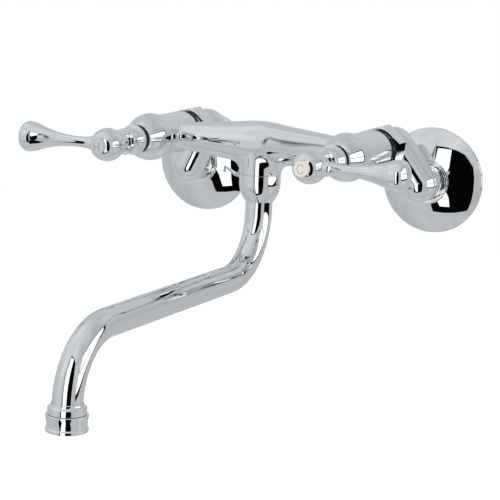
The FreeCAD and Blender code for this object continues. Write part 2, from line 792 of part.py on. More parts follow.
def lever(name, side):
    """Trumpet lever: threaded spigot, root collar, slim waist, long flare and rounded end."""
    root_end = s.lever_root_start + s.lever_root_length
    neck_end = root_end + 2 * s.edge_break
    neck = s.lever_waist_radius + s.edge_break
    slimming = sweep(s.lever_waist_place - neck_end, s.edge_break)
    flare = sweep(s.lever_flare_place - s.lever_waist_place, s.lever_flare_radius - s.lever_waist_radius)
    cap = sweep(s.lever_cap_radius, s.lever_end - s.lever_cap_place)
    turn = (FreeCAD.Vector(0, side, 0), 90)
    return turned(f"{name}_lever", [
        (0, s.lever_spigot_start),
        (s.lever_spigot_radius - s.edge_break, s.lever_spigot_start),
        (s.lever_spigot_radius, s.lever_spigot_start + s.edge_break),
        (s.lever_spigot_radius, s.lever_root_start),
        (s.lever_root_radius, s.lever_root_start),
        (s.lever_root_radius, root_end),
        (neck, neck_end),
        (s.lever_waist_radius, s.lever_waist_place, slimming, -1),
        (s.lever_flare_radius, s.lever_flare_place, flare, -1),
        (s.lever_bulb_radius, s.lever_bulb_place, s.lever_bulb_sweep, 1),
        (s.lever_cap_radius, s.lever_cap_place, s.lever_edge_roll, 1),
        (0, s.lever_end, cap, 1),
    ], side * valve_x, -s.ball_place, 0, turn)


def handle_trim(name, side):
    """Screw that holds the handle on the stem, and the index button that hides it."""
    head_end = s.handle_screw_seat + s.handle_screw_head_length
    shank = s.handle_screw_radius - s.socket_gap
    turned(f"{name}_handle_screw", [
        (0, s.handle_screw_start),
        (shank, s.handle_screw_start),
        (shank, s.handle_screw_seat),
        (s.handle_screw_head, s.handle_screw_seat),
        (s.handle_screw_head, head_end - s.edge_break),
        (s.handle_screw_head - s.edge_break, head_end),
        (s.hex_socket_radius, head_end),
        (s.hex_socket_radius, head_end - s.hex_socket_radius),
        (0, head_end - s.hex_socket_radius),
    ], side * valve_x, 0, 0, outward)
    seat = s.ball_front - s.index_seat_depth + s.seat_gap
    face = s.ball_front + s.index_rise
    rim = 2 * s.edge_break
    turned(f"{name}_index_button", [
        (0, seat),
        (s.index_radius, seat),
        (s.index_radius, face - s.edge_break),
        (s.index_radius - s.edge_break, face),
        (s.index_radius - rim, face),
        (s.index_radius - rim - s.edge_break, face - s.edge_break),
        (0, face - s.edge_break),
    ], side * valve_x, 0, 0, outward)


def swivel_nut():
    """Bowl-shaped nut under the boss that keeps the spout in while it turns."""
    top = -s.boss_face - s.seat_gap
    bore = s.boss_thread_radius + s.thread_gap
    way = s.tube_radius + s.seat_gap
    band_end = top - s.swivel_nut_band
    foot = s.tube_radius + s.swivel_nut_lip
    bowl = sweep(band_end + s.swivel_nut_end, s.swivel_nut_radius - foot)
    return turned("spout_swivel_nut", [
        (bore, top),
        (s.swivel_nut_radius, top),
        (s.swivel_nut_radius, band_end),
        (foot, -s.swivel_nut_end, bowl, -1),
        (way, -s.swivel_nut_end),
        (way, -swivel_shoulder),
        (bore, -swivel_shoulder),
    ], 0, -s.bridge_from_wall, 0)


def spout_tube():
    """Round tube that drops, runs out level and drops again, on two quarter bends."""
    body = new_body("SpoutTube")
    path = sketch_on(body, "YZ_Plane", "SpoutPath")
    bend = s.spout_bend
    draw(path, [
        (0, -tube_start),
        (0, bend - s.spout_level),
        (-bend, -s.spout_level, bend, -1),
        (bend - s.spout_reach, -s.spout_level),
        (-s.spout_reach, -s.spout_level - bend, bend, 1),
    ], closed=False)
    section = sketch_on(body, "XY_Plane", "SpoutSection")
    bind(section, "AttachmentOffset.Base.z", -tube_start)
    draw_circle(section, 0, 0, s.tube_radius)
    draw_circle(section, 0, 0, s.tube_radius - s.tube_wall)
    pipe = body.newObject("PartDesign::AdditivePipe", "SpoutPipe")
    pipe.Profile = section
    pipe.Spine = path
    path.Visibility = False
    section.Visibility = False
    place(body, 0, -s.bridge_from_wall, 0)
    return keep(body, "spout_tube")


def spout_pieces():
    """Grooved bushing brazed on the tube's head, its two rings, the glide ring and the outlet collar."""
    at = {"y": -s.bridge_from_wall}
    sleeve = s.boss_bore - s.running_gap
    groove = sleeve - s.ring_groove_depth
    spigot = s.tube_radius - s.tube_wall - s.running_gap
    corners = [(s.bushing_bore, -tube_start - s.bushing_spigot_length),
               (spigot, -tube_start - s.bushing_spigot_length),
               (spigot, -tube_start),
               (s.bushing_flange_radius, -tube_start),
               (s.bushing_flange_radius, -bushing_flange_top),
               (sleeve, -bushing_flange_top)]
    for place_down in (s.ring_groove_second, s.ring_groove_first):
        corners += [(sleeve, -place_down - s.ring_groove_width),
                    (groove, -place_down - s.ring_groove_width),
                    (groove, -place_down),
                    (sleeve, -place_down)]
    corners += [(sleeve, -s.bushing_top - s.bushing_bevel),
                (sleeve - s.bushing_bevel, -s.bushing_top),
                (s.bushing_bore, -s.bushing_top)]
    turned("spout_bushing", corners, **at)
    for label, place_down in (("upper_spout_ring", s.ring_groove_first),
                              ("lower_spout_ring", s.ring_groove_second)):
        low = -place_down - s.ring_groove_width + s.seat_gap
        high = -place_down - s.seat_gap
        turned(label, ring(groove + s.ring_gap, sleeve + s.ring_gap, low, high), **at)
    turned("spout_glide_ring", ring(s.tube_radius + s.running_gap, s.bushing_flange_radius,
                                    -glide_ring_top - s.glide_ring_length, -glide_ring_top), **at)


def outlet_pieces():
    """Collar brazed on the tube's end, and the washer and aerator that screw into it."""
    at = {"y": -s.bridge_from_wall - s.spout_reach}
    tube_end = -s.spout_level - s.spout_bend
    seat = tube_end - s.collar_seat
    washer_end = seat - s.outlet_washer_length
    thread_bore = s.aerator_thread_radius + s.thread_gap
    lip = s.tube_radius + s.edge_break
    turned("outlet_collar", [
        (s.tube_radius + s.seat_gap, tube_end),
        (s.tube_radius + s.seat_gap, tube_end + s.collar_flare),
        (lip, tube_end + s.collar_flare),
        (s.collar_radius, tube_end, s.collar_flare_sweep, 1),
        (s.collar_radius, -s.aerator_top + s.edge_break / 2),
        (s.collar_radius - s.edge_break / 2, -s.aerator_top),
        (thread_bore, -s.aerator_top),
        (thread_bore, seat),
        (s.tube_radius - s.tube_wall, seat),
        (s.tube_radius - s.tube_wall, tube_end),
    ], **at)
    turned("outlet_washer", ring(s.tube_radius - s.tube_wall, s.aerator_thread_radius, washer_end, seat), **at)

    shoulder = -s.aerator_top - s.seat_gap
    pocket = s.aerator_insert_radius + s.seat_gap
    ledge = -s.aerator_end + s.aerator_ledge
    lip_top = -s.aerator_end + s.aerator_lip_height
    turned("aerator_housing", [
        (s.aerator_mouth_radius, -s.aerator_end),
        (s.aerator_radius - s.edge_break, -s.aerator_end),
        (s.aerator_radius, -s.aerator_end + s.edge_break),
        (s.aerator_radius, lip_top),
        (s.aerator_waist_radius, lip_top + 2 * s.edge_break),
        (s.aerator_radius, shoulder - s.aerator_rim_height, s.aerator_waist_sweep, -1),
        (s.aerator_radius, shoulder - s.edge_break),
        (s.aerator_radius - s.edge_break, shoulder),
        (s.aerator_thread_radius, shoulder),
        (s.aerator_thread_radius, washer_end),
        (pocket, washer_end),
        (pocket, ledge),
        (s.aerator_mouth_radius, ledge),
    ], **at)
    aerator_insert(ledge, washer_end, at["y"])


def aerator_insert(low, high, y):
    """Round plug pierced by two rings of holes and one in the middle."""
    body = new_body("AeratorInsert")
    face = sketch_on(body, "XY_Plane", "InsertFace")
    bind(face, "AttachmentOffset.Base.z", low)
    draw_circle(face, 0, 0, s.aerator_insert_radius)
    draw_circle(face, 0, 0, s.aerator_hole_radius)
    pad = body.newObject("PartDesign::Pad", "InsertPlug")
    pad.Profile = face
    pad.Length = (high - low).value
    bind(pad, "Length", high - low)
    face.Visibility = False
    for name, reach, count in (("Inner", s.aerator_inner_holes, 6), ("Outer", s.aerator_outer_holes, 12)):
        spot = sketch_on(body, "XY_Plane", f"Insert{name}Spot")
        bind(spot, "AttachmentOffset.Base.z", low)
        draw_circle(spot, reach, 0, s.aerator_hole_radius)
        hole = body.newObject("PartDesign::Pocket", f"Insert{name}Hole")
        hole.Profile = spot
        hole.Type = "ThroughAll"
        hole.Midplane = True
        spot.Visibility = False
        rings = body.newObject("PartDesign::PolarPattern", f"Insert{name}Holes")
        rings.Originals = [hole]
        rings.Axis = (spot, ["N_Axis"])
        rings.Angle = 360
        rings.Occurrences = count
        body.Tip = rings
    place(body, 0, y, 0)
    return keep(body, "aerator_insert")


bridge_body()
for name, side, turn in sides:
    arm(name, side, turn)
    flange(name, side, turn)
    flange_ring(name, side, turn)
    union_nut(name, side, s.right_nut_turn if side > 0 else s.left_nut_turn)
    valve_pieces(name, side)
    bonnet(name, side)
    handle_hub(name, side)
    lever(name, side)
    handle_trim(name, side)
swivel_nut()
spout_tube()
spout_pieces()
outlet_pieces()
doc.recompute()

faults = [thing.Name for thing in doc.Objects if "Invalid" in thing.State or "Error" in thing.State]
for piece in parts:
    if piece.Shape.isNull() or not piece.Shape.isValid() or not piece.Shape.Solids:
        faults.append(piece.Label)
if faults:
    raise RuntimeError("these objects failed: " + ", ".join(faults))
for piece in parts:
    piece.Shape.exportStep(f"parts/{piece.Label}.step")
    box = piece.Shape.BoundBox
    print(f"{piece.Label}: {len(piece.Shape.Solids)} solid, {piece.Shape.Volume:.1f} mm3, "
          f"{box.XLength:.1f} x {box.YLength:.1f} x {box.ZLength:.1f}")
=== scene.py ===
import json
import math

import bmesh
import bpy
import numpy as np
from mathutils import Matrix, Vector


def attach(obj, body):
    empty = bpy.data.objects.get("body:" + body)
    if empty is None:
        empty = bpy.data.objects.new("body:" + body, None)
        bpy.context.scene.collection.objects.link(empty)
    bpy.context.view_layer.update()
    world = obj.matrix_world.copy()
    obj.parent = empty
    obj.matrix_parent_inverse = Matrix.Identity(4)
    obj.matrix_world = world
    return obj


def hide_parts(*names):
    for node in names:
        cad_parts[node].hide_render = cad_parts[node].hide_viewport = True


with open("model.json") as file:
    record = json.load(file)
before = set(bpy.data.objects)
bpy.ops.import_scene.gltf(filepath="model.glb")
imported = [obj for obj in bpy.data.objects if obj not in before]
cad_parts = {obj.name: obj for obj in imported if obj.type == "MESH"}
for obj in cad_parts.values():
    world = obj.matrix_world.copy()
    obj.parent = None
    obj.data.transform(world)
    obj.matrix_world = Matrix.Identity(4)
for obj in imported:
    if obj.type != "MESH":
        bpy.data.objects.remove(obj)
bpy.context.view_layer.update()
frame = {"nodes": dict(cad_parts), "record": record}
nodes = frame["nodes"]

# Places in millimetres, as the solids have them: x to the right, y into the wall, z up.
faucet = {
    "valveX": 75.5,
    "bridgeFromWall": 88.0,
    "spoutReach": 248.0,
    "leftInlet": (-89.966, -29.66),
    "rightInlet": (95.817, -26.004),
}
sides = (("left", -1), ("right", 1))
towardRoom = (0, -1, 0)
upward = (0, 0, 1)
bridgeMiddle = (0, -faucet["bridgeFromWall"], 0)
outletPlace = (0, -faucet["bridgeFromWall"] - faucet["spoutReach"], 0)


# A hex colour as linear red, green, blue and alpha.
def srgb(code):
    values = [int(code[i:i + 2], 16) / 255 for i in (1, 3, 5)]
    return [v / 12.92 if v <= 0.04045 else ((v + 0.055) / 1.055) ** 2.4 for v in values] + [1.0]


# Adds a node, sets its inputs and properties, and links (input name or number, source socket) pairs to it.
def addNode(tree, kind, links=(), **settings):
    node = tree.nodes.new(kind)
    for name, value in settings.items():
        if name in node.inputs:
            node.inputs[name].default_value = value
        else:
            setattr(node, name, value)
    for name, source in links:
        tree.links.new(source, node.inputs[name])
    return node


def newMaterial(name):
    material = bpy.data.materials.new(name)
    material.use_nodes = True
    tree = material.node_tree
    return material, tree, tree.nodes["Principled BSDF"]


# A value from 0 to 1 stretched to the range low to high.
def stretched(tree, source, low, high, start=0.0, end=1.0):
    node = addNode(tree, "ShaderNodeMapRange", [("Value", source)])
    for name, value in (("From Min", start), ("From Max", end), ("To Min", low), ("To Max", high)):
        node.inputs[name].default_value = value
    return node.outputs["Result"]


# Noise whose features are about this many millimetres wide.
def noise(tree, mm, **settings):
    coords = addNode(tree, "ShaderNodeTexCoord")
    return addNode(tree, "ShaderNodeTexNoise", [("Vector", coords.outputs["Object"])],
                   Scale=1000.0 / mm, **settings)


def bumped(tree, shader, height, strength, depth):
    bump = addNode(tree, "ShaderNodeBump", [("Height", height)], Strength=strength, Distance=depth)
    tree.links.new(bump.outputs["Normal"], shader.inputs["Normal"])


# Materials

# The widths of the smudges and the buffing waves are in millimetres, and the waves' depth is in metres.
plate = {"code": "#e3e6e7", "smudge": 22.0, "smudgeRange": (0.35, 0.75), "clean": 0.01, "dull": 0.04,
         "wave": 9.0, "waveStrength": 0.02, "waveDepth": 0.0003}


# Nickel-chrome plate over buffed brass: a bright, slightly cool mirror with faint buffing waves
# and dull smudges.
def polishedChrome():
    s = plate
    material, tree, shader = newMaterial("polishedChromePlate")
    shader.inputs["Base Color"].default_value = srgb(s["code"])
    shader.inputs["Metallic"].default_value = 1.0
    smudge = noise(tree, s["smudge"], Detail=3.0, Roughness=0.55)
    gloss = stretched(tree, smudge.outputs["Fac"], s["clean"], s["dull"], *s["smudgeRange"])
    tree.links.new(gloss, shader.inputs["Roughness"])
    waves = noise(tree, s["wave"], Detail=1.0)
    bumped(tree, shader, waves.outputs["Fac"], s["waveStrength"], s["waveDepth"])
    return material


turning = {"spread": 0.12, "strength": 0.15, "depth": 0.00002}


# Lathe-turned metal: fine rings across the axis, seen as soft bands in the gloss. They are drawn coarser than
# a lathe leaves them so that they show: a band every 2 pi times the ring width, in millimetres.
def turnedMetal(name, code, roughness, ringWidth, axis="Y"):
    s = turning
    material, tree, shader = newMaterial(name)
    shader.inputs["Base Color"].default_value = srgb(code)
    shader.inputs["Metallic"].default_value = 1.0
    coords = addNode(tree, "ShaderNodeTexCoord")
    rings = addNode(tree, "ShaderNodeTexWave", [("Vector", coords.outputs["Object"])],
                    Scale=50.0 / ringWidth, Distortion=0.6, Detail=1.0, bands_direction=axis)
    tree.links.new(stretched(tree, rings.outputs["Fac"], roughness, roughness + s["spread"]),
                   shader.inputs["Roughness"])
    bumped(tree, shader, rings.outputs["Fac"], s["strength"], s["depth"])
    return material


moulding = {"cloudGrains": 8, "cloudRange": (0.35, 0.65), "strength": 0.3}


# Moulded or fired material: slight clouding between two tints, and a fine skin texture, whose grain in
# millimetres is drawn coarser than the real one so that it shows.
def mouldedStuff(name, code, darkCode, roughness, grain, depth):
    s = moulding
    material, tree, shader = newMaterial(name)
    cloud = noise(tree, grain * s["cloudGrains"], Detail=2.0)
    ramp = addNode(tree, "ShaderNodeValToRGB", [("Fac", cloud.outputs["Fac"])])
    for stop, place, tint in zip(ramp.color_ramp.elements, s["cloudRange"], (code, darkCode)):
        stop.position = place
        stop.color = srgb(tint)
    tree.links.new(ramp.outputs["Color"], shader.inputs["Base Color"])
    shader.inputs["Roughness"].default_value = roughness
    skin = noise(tree, grain, Detail=2.0)
    bumped(tree, shader, skin.outputs["Fac"], s["strength"], depth)
    return material


chrome = polishedChrome()
brass = turnedMetal("turnedBrass", "#c9a766", 0.22, 0.4)
uprightBrass = turnedMetal("uprightTurnedBrass", "#c9a766", 0.22, 0.4, "Z")
# Thread left in the union's recess: metal painted near black as painted shade for the recess, dull, with a
# soft gloss.
recessShadeBrass = turnedMetal("threadMetalPaintedShade", "#2f2e2c", 0.35, 0.4)
steel = turnedMetal("turnedSteel", "#b9bbbd", 0.3, 0.3)
# Black nitrile rubber: matt, near black, with a fine moulded skin.
rubber = mouldedStuff("blackNitrileRubber", "#17181a", "#202124", 0.62, 0.5, 0.00005)
# Lapped alumina: dense warm white with a silky gloss.
ceramic = mouldedStuff("lappedAlumina", "#f1efe8", "#e6e3da", 0.25, 0.6, 0.00001)
# Index enamel: ivory on the cold side and pearl grey on the hot side, both glossy.
ivoryEnamel = mouldedStuff("ivoryIndexEnamel", "#f3f2ea", "#eceae1", 0.12, 0.8, 0.00001)
pearlEnamel = mouldedStuff("pearlGreyIndexEnamel", "#cdcfcd", "#c5c8c5", 0.12, 0.8, 0.00001)
# Index inks: a beige fill on the ivory disc and a warm grey one on the pearl disc, with a soft gloss.
beigeInk = mouldedStuff("beigeIndexInk", "#d0c9b6", "#c6bea9", 0.3, 0.5, 0.00001)
greyInk = mouldedStuff("warmGreyIndexInk", "#b0aca7", "#a7a39e", 0.3, 0.5, 0.00001)
# Acetal of the glide ring: milky white with a dull slide gloss.
acetal = mouldedStuff("whiteAcetal", "#e9e9e4", "#dcdcd6", 0.42, 0.5, 0.00002)
# Aerator plastic: mid grey with a dull moulded face.
aeratorPlastic = mouldedStuff("greyAeratorPlastic", "#a3a6a8", "#8f9294", 0.4, 0.6, 0.00003)

finishes = {
    "polished_chrome": chrome,
    "bare_brass": brass,
    "black_rubber": rubber,
    "white_ceramic": ceramic,
    "screw_steel": steel,
    "index_plastic": ivoryEnamel,
    "slide_plastic": acetal,
    "aerator_plastic": aeratorPlastic,
}
for entry in frame["record"]["subparts"]:
    node = nodes[entry["node"]]
    node.data.materials.clear()
    node.data.materials.append(finishes[entry["material_slot"]])
nodes["spout_bushing"].data.materials[0] = uprightBrass
print("materials ready")


# Meshes

# The weld distance is in metres and the arc step in degrees.
meshDetail = {"weld": 1e-7, "arcStep": 2.5, "fewestArcSteps": 6, "turns": 144}


# Points in millimetres and faces become one welded, outward-facing piece that rides on a body.
def makePiece(name, vertices, faces, body, slot, replaced=(), material=None, sharpAngle=28.0):
    mesh = bpy.data.meshes.new(name)
    mesh.from_pydata((np.asarray(vertices) / 1000.0).tolist(), [], [list(face) for face in faces])
    work = bmesh.new()
    work.from_mesh(mesh)
    bmesh.ops.remove_doubles(work, verts=work.verts, dist=meshDetail["weld"])
    bmesh.ops.dissolve_degenerate(work, edges=work.edges, dist=meshDetail["weld"])
    bmesh.ops.recalc_face_normals(work, faces=work.faces)
    work.to_mesh(mesh)
    work.free()
    mesh.polygons.foreach_set("use_smooth", np.ones(len(mesh.polygons), bool))
    mesh.set_sharp_from_angle(angle=math.radians(sharpAngle))
    mesh.materials.append(material or finishes[slot])
    piece = bpy.data.objects.new(name, mesh)
    bpy.context.scene.collection.objects.link(piece)
    if replaced:
        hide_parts(*replaced)
    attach(piece, body)
    return piece


# Points along the short arc from start to end; side +1 keeps the centre on the left.
def arcPoints(start, end, radius, side):
    start, end = np.array(start, float), np.array(end, float)
    chord = end - start
    length = np.hypot(*chord)
    height = math.sqrt(max(radius * radius - length * length / 4, 0.0))
    centre = (start + end) / 2 + side * height * np.array([-chord[1], chord[0]]) / length
    first = math.atan2(*(start - centre)[::-1])
    turn = math.atan2(*(end - centre)[::-1]) - first
    turn = (turn + math.pi) % (2 * math.pi) - math.pi
    steps = max(int(abs(turn) / math.radians(meshDetail["arcStep"])), meshDetail["fewestArcSteps"])
    angles = first + turn * np.linspace(0, 1, steps + 1)[1:]
    return centre + radius * np.stack([np.cos(angles), np.sin(angles)], 1)


# Outline from corners: (r, h), (r, h, round) for a rounded corner, (r, h, radius, side) for an arc to it.
def outlinePoints(corners):
    count = len(corners)
    spots = [np.array(corner[:2], float) for corner in corners]
    points = []
    for index, corner in enumerate(corners):
        if len(corner) == 3:
            before = spots[index - 1] - spots[index]
            after = spots[(index + 1) % count] - spots[index]
            before, after = before / np.hypot(*before), after / np.hypot(*after)
            bend = math.acos(float(np.clip(before @ after, -1, 1)))
            reach = corner[2] / math.tan(bend / 2)
            cross = before[0] * after[1] - before[1] * after[0]
            start, end = spots[index] + before * reach, spots[index] + after * reach
            points.append(start[None])
            points.append(arcPoints(start, end, corner[2], -1 if cross > 0 else 1))
        elif len(corner) == 4:
            points.append(arcPoints(points[-1][-1], corner[:2], corner[2], corner[3]))
        else:
            points.append(spots[index][None])
    return np.concatenate(points)


# Faces of a grid of points that closes on itself both ways.
def loopFaces(rows, columns):
    i, j = np.meshgrid(np.arange(rows), np.arange(columns), indexing="ij")
    nextI, nextJ = (i + 1) % rows, (j + 1) % columns
    corners = (i * columns + j, nextI * columns + j, nextI * columns + nextJ, i * columns + nextJ)
    return np.stack(corners, -1).reshape(-1, 4)


# Unit vectors across an axis at the given angles: cos t times one and sin t times the other.
def spokes(axis, angle):
    axis = np.array(axis, float)
    across = np.array([0.0, 0.0, 1.0]) if abs(axis[2]) < 0.5 else np.array([1.0, 0.0, 0.0])
    other = np.cross(axis, across)
    return np.cos(angle)[..., None] * across + np.sin(angle)[..., None] * other


# Surface of revolution: an outline point (r, h) goes to origin + h axis + r spoke(t).
def turnedPiece(name, corners, origin, axis, body, slot, replaced, material=None, turns=meshDetail["turns"]):
    outline = outlinePoints(corners)
    spoke = spokes(axis, np.linspace(0, 2 * math.pi, turns, endpoint=False))
    points = (np.array(origin, float) + outline[None, :, 1:2] * np.array(axis, float)
              + outline[None, :, 0:1] * spoke[:, None, :])
    return makePiece(name, points.reshape(-1, 3), loopFaces(turns, len(outline)), body, slot, replaced,
                     material)


# Radius of an arc that leaves a straight run smoothly and has moved sideways by rise at its end.
def sweep(run, rise):
    return (run * run + rise * rise) / (2 * rise)


# A welded, smooth-shaded copy of a solid whose own mesh is loose triangles.
def smoothCopy(name, node, body, sharpAngle=30.0):
    mesh = nodes[node].data
    points = np.empty(len(mesh.vertices) * 3)
    mesh.vertices.foreach_get("co", points)
    faces = [tuple(polygon.vertices) for polygon in mesh.polygons]
    return makePiece(name, points.reshape(-1, 3) * 1000.0, faces, body, "polished_chrome", [node],
                     sharpAngle=sharpAngle)


threadForm = {"turns": 120, "rowsPerPitch": 14, "slope": 2.2, "foot": 0.05, "crest": 0.8, "sharpAngle": 50.0}


# Threads: radius = root + depth ridge(h / pitch - t / full turn), a trapezoid ridge that fades at both ends.
def threadSleeve(name, s, origin, body, slot, material=None):
    form = threadForm
    turns = form["turns"]
    rows = int(round((s["high"] - s["low"]) / s["pitch"] * form["rowsPerPitch"])) + 1
    angle = np.linspace(0, 2 * math.pi, turns, endpoint=False)
    height = np.linspace(s["low"], s["high"], rows)
    phase = (height[:, None] / s["pitch"] - angle[None, :] / (2 * math.pi)) % 1.0
    rise = form["slope"] * (0.5 - np.abs(phase - 0.5)) - form["foot"]
    ridge = np.clip(rise, 0.0, form["crest"]) / form["crest"]
    fade = np.clip(np.minimum(height - s["low"], s["high"] - height) / s["pitch"], 0.0, 1.0)
    radius = s["root"] + s["depth"] * ridge * fade[:, None]
    spoke = spokes(towardRoom, angle)
    axis = np.array(towardRoom, float)
    wall = np.array(origin, float) + height[:, None, None] * axis + radius[..., None] * spoke
    ends = [np.array(origin, float) + h * axis + s["back"] * spoke for h in (s["high"], s["low"])]
    grid = np.concatenate([wall, [ends[0]], [ends[1]]])
    return makePiece(name, grid.reshape(-1, 3), loopFaces(rows + 2, turns), body, slot, material=material,
                     sharpAngle=form["sharpAngle"])


# Wall flanges

flangeSizes = {
    "radius": 38.1,
    "height": 12.6,
    "bore": 13.1,
    "neck": 14.2,
    "step": 15.1,
    "foot": 16.0,
    "stepHeight": 0.75,
    "stepRound": 0.3,
    "lipRound": 0.2,
    "footRise": 0.1,
    "footSink": 0.5,
    "sleeve": 15.2,
    "sleeveFoot": 3.5,
    "grooveLow": 5.0,
    "grooveHigh": 7.0,
    "groove": 14.1,
    "domeTop": 11.3,
    "domeArc": 74.0,
    "edge": 37.4,
    "edgeHeight": 1.2,
    "rimRoll": 0.75,
    "wall": 1.8,
    "seat": 36.0,
}


def wallFlange(name):
    s = flangeSizes
    x, z = faucet[f"{name}Inlet"]
    stepTop = s["height"] - s["stepHeight"]
    footTop = s["height"] - 2 * s["stepHeight"]
    return turnedPiece(f"{name}FlangeShell", [
        (s["bore"], s["sleeveFoot"]),
        (s["bore"], s["grooveLow"]),
        (s["groove"], s["grooveLow"]),
        (s["groove"], s["grooveHigh"]),
        (s["bore"], s["grooveHigh"]),
        (s["bore"], s["height"], s["lipRound"]),
        (s["neck"], s["height"], s["stepRound"]),
        (s["neck"], stepTop),
        (s["step"], stepTop, s["stepRound"]),
        (s["step"], footTop),
        (s["foot"], footTop + s["footRise"], s["lipRound"]),
        (s["foot"], s["domeTop"] - s["footSink"]),
        (s["edge"], s["edgeHeight"], s["domeArc"], -1),
        (s["radius"], s["edgeHeight"] - s["rimRoll"], s["rimRoll"], 1),
        (s["radius"], 0),
        (s["seat"], 0),
        (s["sleeve"], s["domeTop"] - s["wall"], s["domeArc"] - s["wall"], 1),
        (s["sleeve"], s["sleeveFoot"]),
    ], (x, 0, z), towardRoom, f"{name}_arm", "polished_chrome", [f"{name}_flange"], turns=192)


# Bonnets

bonnetSizes = {
    "start": 105.7, "lip": 14.5, "lipBreak": 0.2, "widest": 111.3, "radius": 16.6,
    "domeArc": 29.85, "brow": 10.41, "domeEnd": 129.5, "groove": 9.9, "grooveSlope": 0.2,
    "bead": 10.5, "beadStart": 130.2, "beadEnd": 131.3, "beadBack": 0.3, "beadFront": 0.4, "beadSlope": 0.1,
    "neck": 9.0, "neckRound": 0.4, "end": 134.8, "noseHole": 6.6, "holeRound": 0.3,
    "bore": 13.0, "step": 111.1, "inner": 13.8, "innerStart": 116.3, "innerEnd": 129.8,
}


def bonnet(name, side):
    s = bonnetSizes
    lip = sweep(s["widest"] - s["start"], s["radius"] - s["lip"])
    hollow = sweep(s["innerEnd"] - s["innerStart"], s["inner"] - s["noseHole"])
    return turnedPiece(f"{name}BonnetShell", [
        (s["bore"], s["start"]),
        (s["lip"] - s["lipBreak"], s["start"]),
        (s["lip"], s["start"] + s["lipBreak"]),
        (s["radius"], s["widest"], lip, 1),
        (s["brow"], s["domeEnd"], s["domeArc"], 1),
        (s["groove"], s["domeEnd"] + s["grooveSlope"]),
        (s["groove"], s["beadStart"]),
        (s["bead"], s["beadStart"], s["beadBack"]),
        (s["bead"], s["beadEnd"], s["beadFront"]),
        (s["neck"], s["beadEnd"] + s["beadSlope"]),
        (s["neck"], s["end"], s["neckRound"]),
        (s["noseHole"], s["end"], s["holeRound"]),
        (s["noseHole"], s["innerEnd"]),
        (s["inner"], s["innerStart"], hollow, -1),
        (s["inner"], s["step"]),
        (s["bore"], s["step"]),
    ], (side * faucet["valveX"], 0, 0), towardRoom, "bridge", "polished_chrome", [f"{name}_bonnet"])


# Painted shade: a black rubber ring on the bonnet's neck that fills the gap behind the handle's skirt,
# standing for the shade in that gap.
shadeRingSizes = {"inner": 9.05, "root": 9.5, "lip": 10.1, "start": 132.2, "end": 135.6, "flare": 1.2,
              "lipBreak": 0.3, "round": 0.2}


def skirtShadeRing(name, side):
    s = shadeRingSizes
    return turnedPiece(f"{name}SkirtShadeRing", [
        (s["inner"], s["start"]),
        (s["root"], s["start"], s["round"]),
        (s["root"], s["end"] - s["flare"]),
        (s["lip"], s["end"] - s["lipBreak"], s["round"]),
        (s["lip"] - s["lipBreak"], s["end"]),
        (s["inner"], s["end"]),
    ], (side * faucet["valveX"], 0, 0), towardRoom, "bridge", "black_rubber", [], turns=96)


# Handles

hubSizes = {
    "skirtStart": 136.0, "skirt": 10.5, "skirtBand": 0.6, "skirtRound": 0.5, "bell": 12.5,
    "cup": 140.0, "cupFloor": 7.5, "cupMouth": 9.0, "cupRound": 0.3,
    "ringLow": 147.6, "ringHigh": 150.0, "ring": 9.1, "ringRound": 0.9,
    "neck": 6.4, "neckFlare": 0.5, "neckRound": 0.5,
    "ballBack": 159.6, "ballRadius": 11.3, "ballPlace": 171.0, "ballArc": 15.8, "ballFront": 182.15,
    "brow": 9.7, "browPlace": 177.9, "browArc": 8.8, "mouth": 5.2, "mouthRound": 0.2,
    "indexBore": 5.08, "indexSeat": 180.3, "stemBore": 4.05, "stemTop": 150.0,
    "screwBore": 2.1, "screwSeat": 160.0, "headBore": 4.3,
}


def handleHub(name, side):
    s = hubSizes
    return turnedPiece(f"{name}HubShell", [
        (s["stemBore"], s["cup"]),
        (s["cupFloor"], s["cup"]),
        (s["cupMouth"], s["skirtStart"], s["cupRound"]),
        (s["skirt"], s["skirtStart"], s["skirtRound"]),
        (s["skirt"], s["skirtStart"] + s["skirtBand"]),
        (s["neck"] + s["neckFlare"], s["ringLow"] - s["neckFlare"], s["bell"], -1),
        (s["neck"] + s["neckFlare"], s["ringLow"]),
        (s["ring"], s["ringLow"], s["ringRound"]),
        (s["ring"], s["ringHigh"], s["ringRound"]),
        (s["neck"], s["ringHigh"], s["neckRound"]),
        (s["neck"], s["ballBack"]),
        (s["ballRadius"], s["ballPlace"], s["ballArc"], 1),
        (s["brow"], s["browPlace"], s["ballArc"], 1),
        (s["mouth"], s["ballFront"], s["browArc"], 1),
        (s["indexBore"], s["ballFront"], s["mouthRound"]),
        (s["indexBore"], s["indexSeat"]),
        (s["headBore"], s["indexSeat"]),
        (s["headBore"], s["screwSeat"]),
        (s["screwBore"], s["screwSeat"]),
        (s["screwBore"], s["stemTop"]),
        (s["stemBore"], s["stemTop"]),
    ], (side * faucet["valveX"], 0, 0), towardRoom, f"{name}_handle", "polished_chrome",
        [f"{name}_handle_hub"])


leverSizes = {
    "place": 171.0, "spigot": 3.0, "spigotStart": 4.6, "spigotRound": 0.4,
    "root": 4.6, "rootStart": 10.1, "rootEnd": 13.5, "rootRound": 0.6, "slimRise": 0.5, "slimStart": 1.0,
    "waist": 3.6, "waistPlace": 24.0, "flare": 9.3, "flarePlace": 56.0,
    "bulb": 10.5, "bulbPlace": 62.5, "bulbArc": 20.0, "cap": 7.9, "capPlace": 66.8, "edgeRoll": 5.0,
    "end": 68.9,
}


